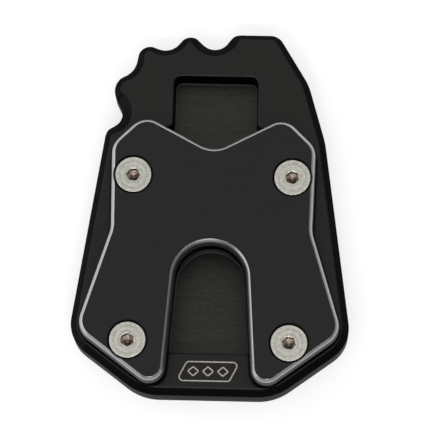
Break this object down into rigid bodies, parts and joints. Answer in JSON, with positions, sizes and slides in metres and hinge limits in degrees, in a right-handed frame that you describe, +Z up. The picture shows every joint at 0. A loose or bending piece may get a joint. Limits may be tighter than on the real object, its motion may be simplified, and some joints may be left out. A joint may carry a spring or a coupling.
{
  "type": "kickstand foot enlarger",
  "caption": "two-piece aluminium foot that clamps round a motorbike side stand, with a scalloped toe edge, a foot pocket and a leg slot under a bright-bevelled clamp plate",
  "frame": {"origin": "on the ground in the middle of the underside", "axes": "+X is the right side in the picture, +Y is the scalloped toe end, +Z is up out of the clamp plate"},
  "size_m": [0.0924, 0.125, 0.02],
  "materials": {
    "base_anodised": "milled, black anodised, satin",
    "clamp_anodised": "milled, black anodised, satin, with a bare bright bevel",
    "screw_steel": "plain stainless steel, dull"
  },
  "bodies": {
    "root": {"base_plate": "base_anodised", "clamp_plate": "clamp_anodised", "screw_toe_left": "screw_steel", "screw_toe_right": "screw_steel", "screw_heel_left": "screw_steel", "screw_heel_right": "screw_steel"}
  },
  "joints": []
}
